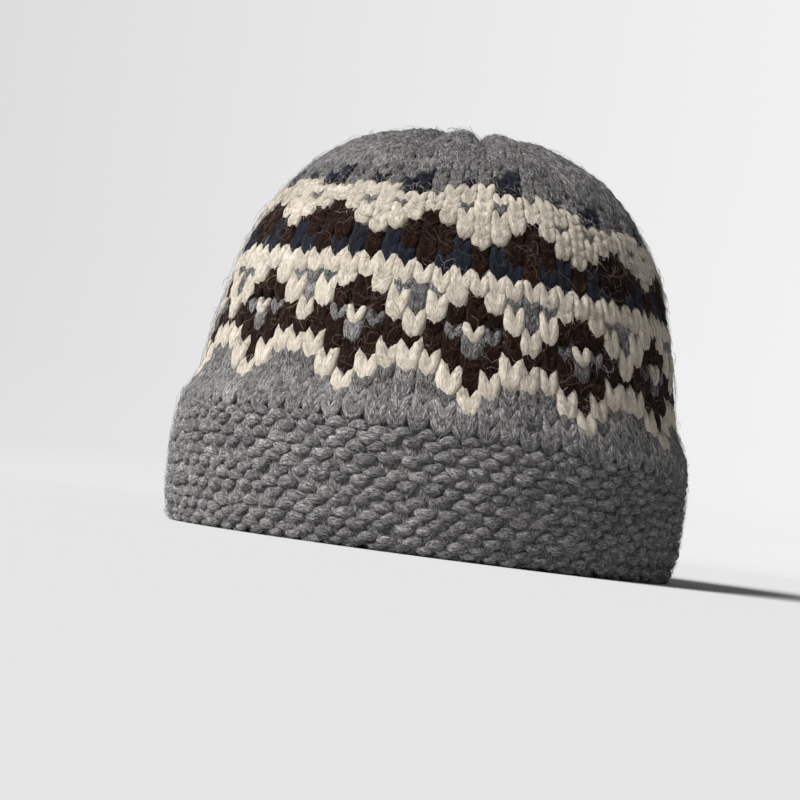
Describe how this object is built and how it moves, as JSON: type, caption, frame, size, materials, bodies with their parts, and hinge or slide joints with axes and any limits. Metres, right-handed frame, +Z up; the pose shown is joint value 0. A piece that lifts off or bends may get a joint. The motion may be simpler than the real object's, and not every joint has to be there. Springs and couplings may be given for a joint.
{
  "type": "knitted fisherman beanie",
  "caption": "Bulky wool beanie with a stranded colourwork crown, gathered top and a folded garter-stitch cuff, resting on its rim.",
  "frame": {"origin": "middle of the head opening, on the surface that the folded rim stands on", "axes": "+Z up towards the gathered top, +Y towards the back of the head, +X to the viewer's right seen from the front"},
  "size_m": [0.1996, 0.2077, 0.16],
  "materials": {
    "grey_wool": "heathered grey bulky wool, fuzzy and matt",
    "cream_wool": "undyed cream bulky wool, fuzzy and matt",
    "brown_wool": "dark brown bulky wool with loose lighter hairs, matt",
    "navy_wool": "navy bulky wool, fuzzy and matt"
  },
  "bodies": {
    "root": {"crown": "grey_wool", "cuff": "grey_wool"}
  },
  "joints": []
}
